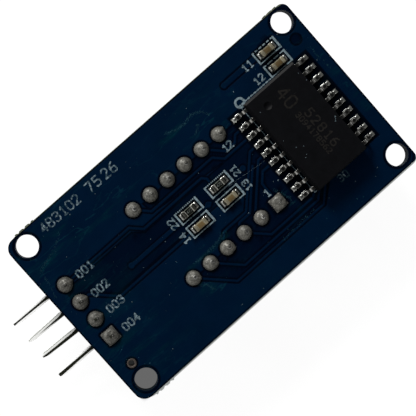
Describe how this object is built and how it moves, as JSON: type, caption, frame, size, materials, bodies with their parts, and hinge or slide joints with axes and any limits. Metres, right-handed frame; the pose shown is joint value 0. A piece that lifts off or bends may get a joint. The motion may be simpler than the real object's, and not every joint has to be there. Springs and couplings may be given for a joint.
{
  "type": "seven segment display module",
  "caption": "Small numeric clock display on a blue circuit board with a driver chip, chip capacitors and resistors, and a bent pin header.",
  "frame": {"origin": "on the display's front face, under the middle of the display's solder pads", "axes": "+X along the row of digits from the header to the driver chip, +Y across the board, +Z out of the board's solder side; the module lies on its display face"},
  "size_m": [0.0469, 0.0237, 0.0112],
  "materials": {
    "board": "dark blue solder mask over copper tracks on glass-fibre board, satin",
    "solder": "soldered tin alloy, bright and uneven",
    "tinned_lead": "tin plated, satin",
    "part_end": "tin plated, satin",
    "chip_moulding": "black moulding compound, fine grain",
    "capacitor_ceramic": "fired brown ceramic, satin",
    "resistor_coat": "black glassy coat",
    "header_plastic": "black moulded plastic",
    "header_pin": "tinned brass, dull olive grey",
    "display_plastic": "white moulded plastic with a black inked face",
    "inner_board": "green circuit board",
    "light_chip": "small light-emitting chips",
    "back_resin": "poured sealing resin",
    "milky_resin": "milky poured resin"
  },
  "bodies": {
    "root": {"circuit_board": "board", "tinned_hole": "solder", "chip_body": "chip_moulding", "chip_leads_inner": "tinned_lead", "chip_leads_outer": "tinned_lead", "chip_solder_inner": "solder", "chip_solder_outer": "solder", "capacitor_1": "capacitor_ceramic", "capacitor_2": "capacitor_ceramic", "capacitor_3": "capacitor_ceramic", "capacitor_4": "capacitor_ceramic", "capacitor_1_ends": "part_end", "capacitor_2_ends": "part_end", "capacitor_3_ends": "part_end", "capacitor_4_ends": "part_end", "resistor_1": "resistor_coat", "resistor_2": "resistor_coat", "resistor_1_ends": "part_end", "resistor_2_ends": "part_end", "capacitor_solder": "solder", "resistor_solder": "solder", "header_block": "header_plastic", "header_pin_1": "header_pin", "header_pin_2": "header_pin", "header_pin_3": "header_pin", "header_pin_4": "header_pin", "header_solder_1": "solder", "header_solder_2": "solder", "header_solder_3": "solder", "header_solder_4": "solder", "display_housing": "display_plastic", "digit_1_resin": "milky_resin", "digit_2_resin": "milky_resin", "digit_3_resin": "milky_resin", "digit_4_resin": "milky_resin", "colon_resin": "milky_resin", "display_inner_board": "inner_board", "light_chips": "light_chip", "display_back_resin": "back_resin", "display_pin_1": "tinned_lead", "display_pin_2": "tinned_lead", "display_pin_3": "tinned_lead", "display_pin_4": "tinned_lead", "display_pin_5": "tinned_lead", "display_pin_6": "tinned_lead", "display_pin_7": "tinned_lead", "display_pin_8": "tinned_lead", "display_pin_9": "tinned_lead", "display_pin_10": "tinned_lead", "display_pin_11": "tinned_lead", "display_pin_12": "tinned_lead", "display_solder_lower": "solder", "display_solder_upper": "solder"}
  },
  "joints": []
}
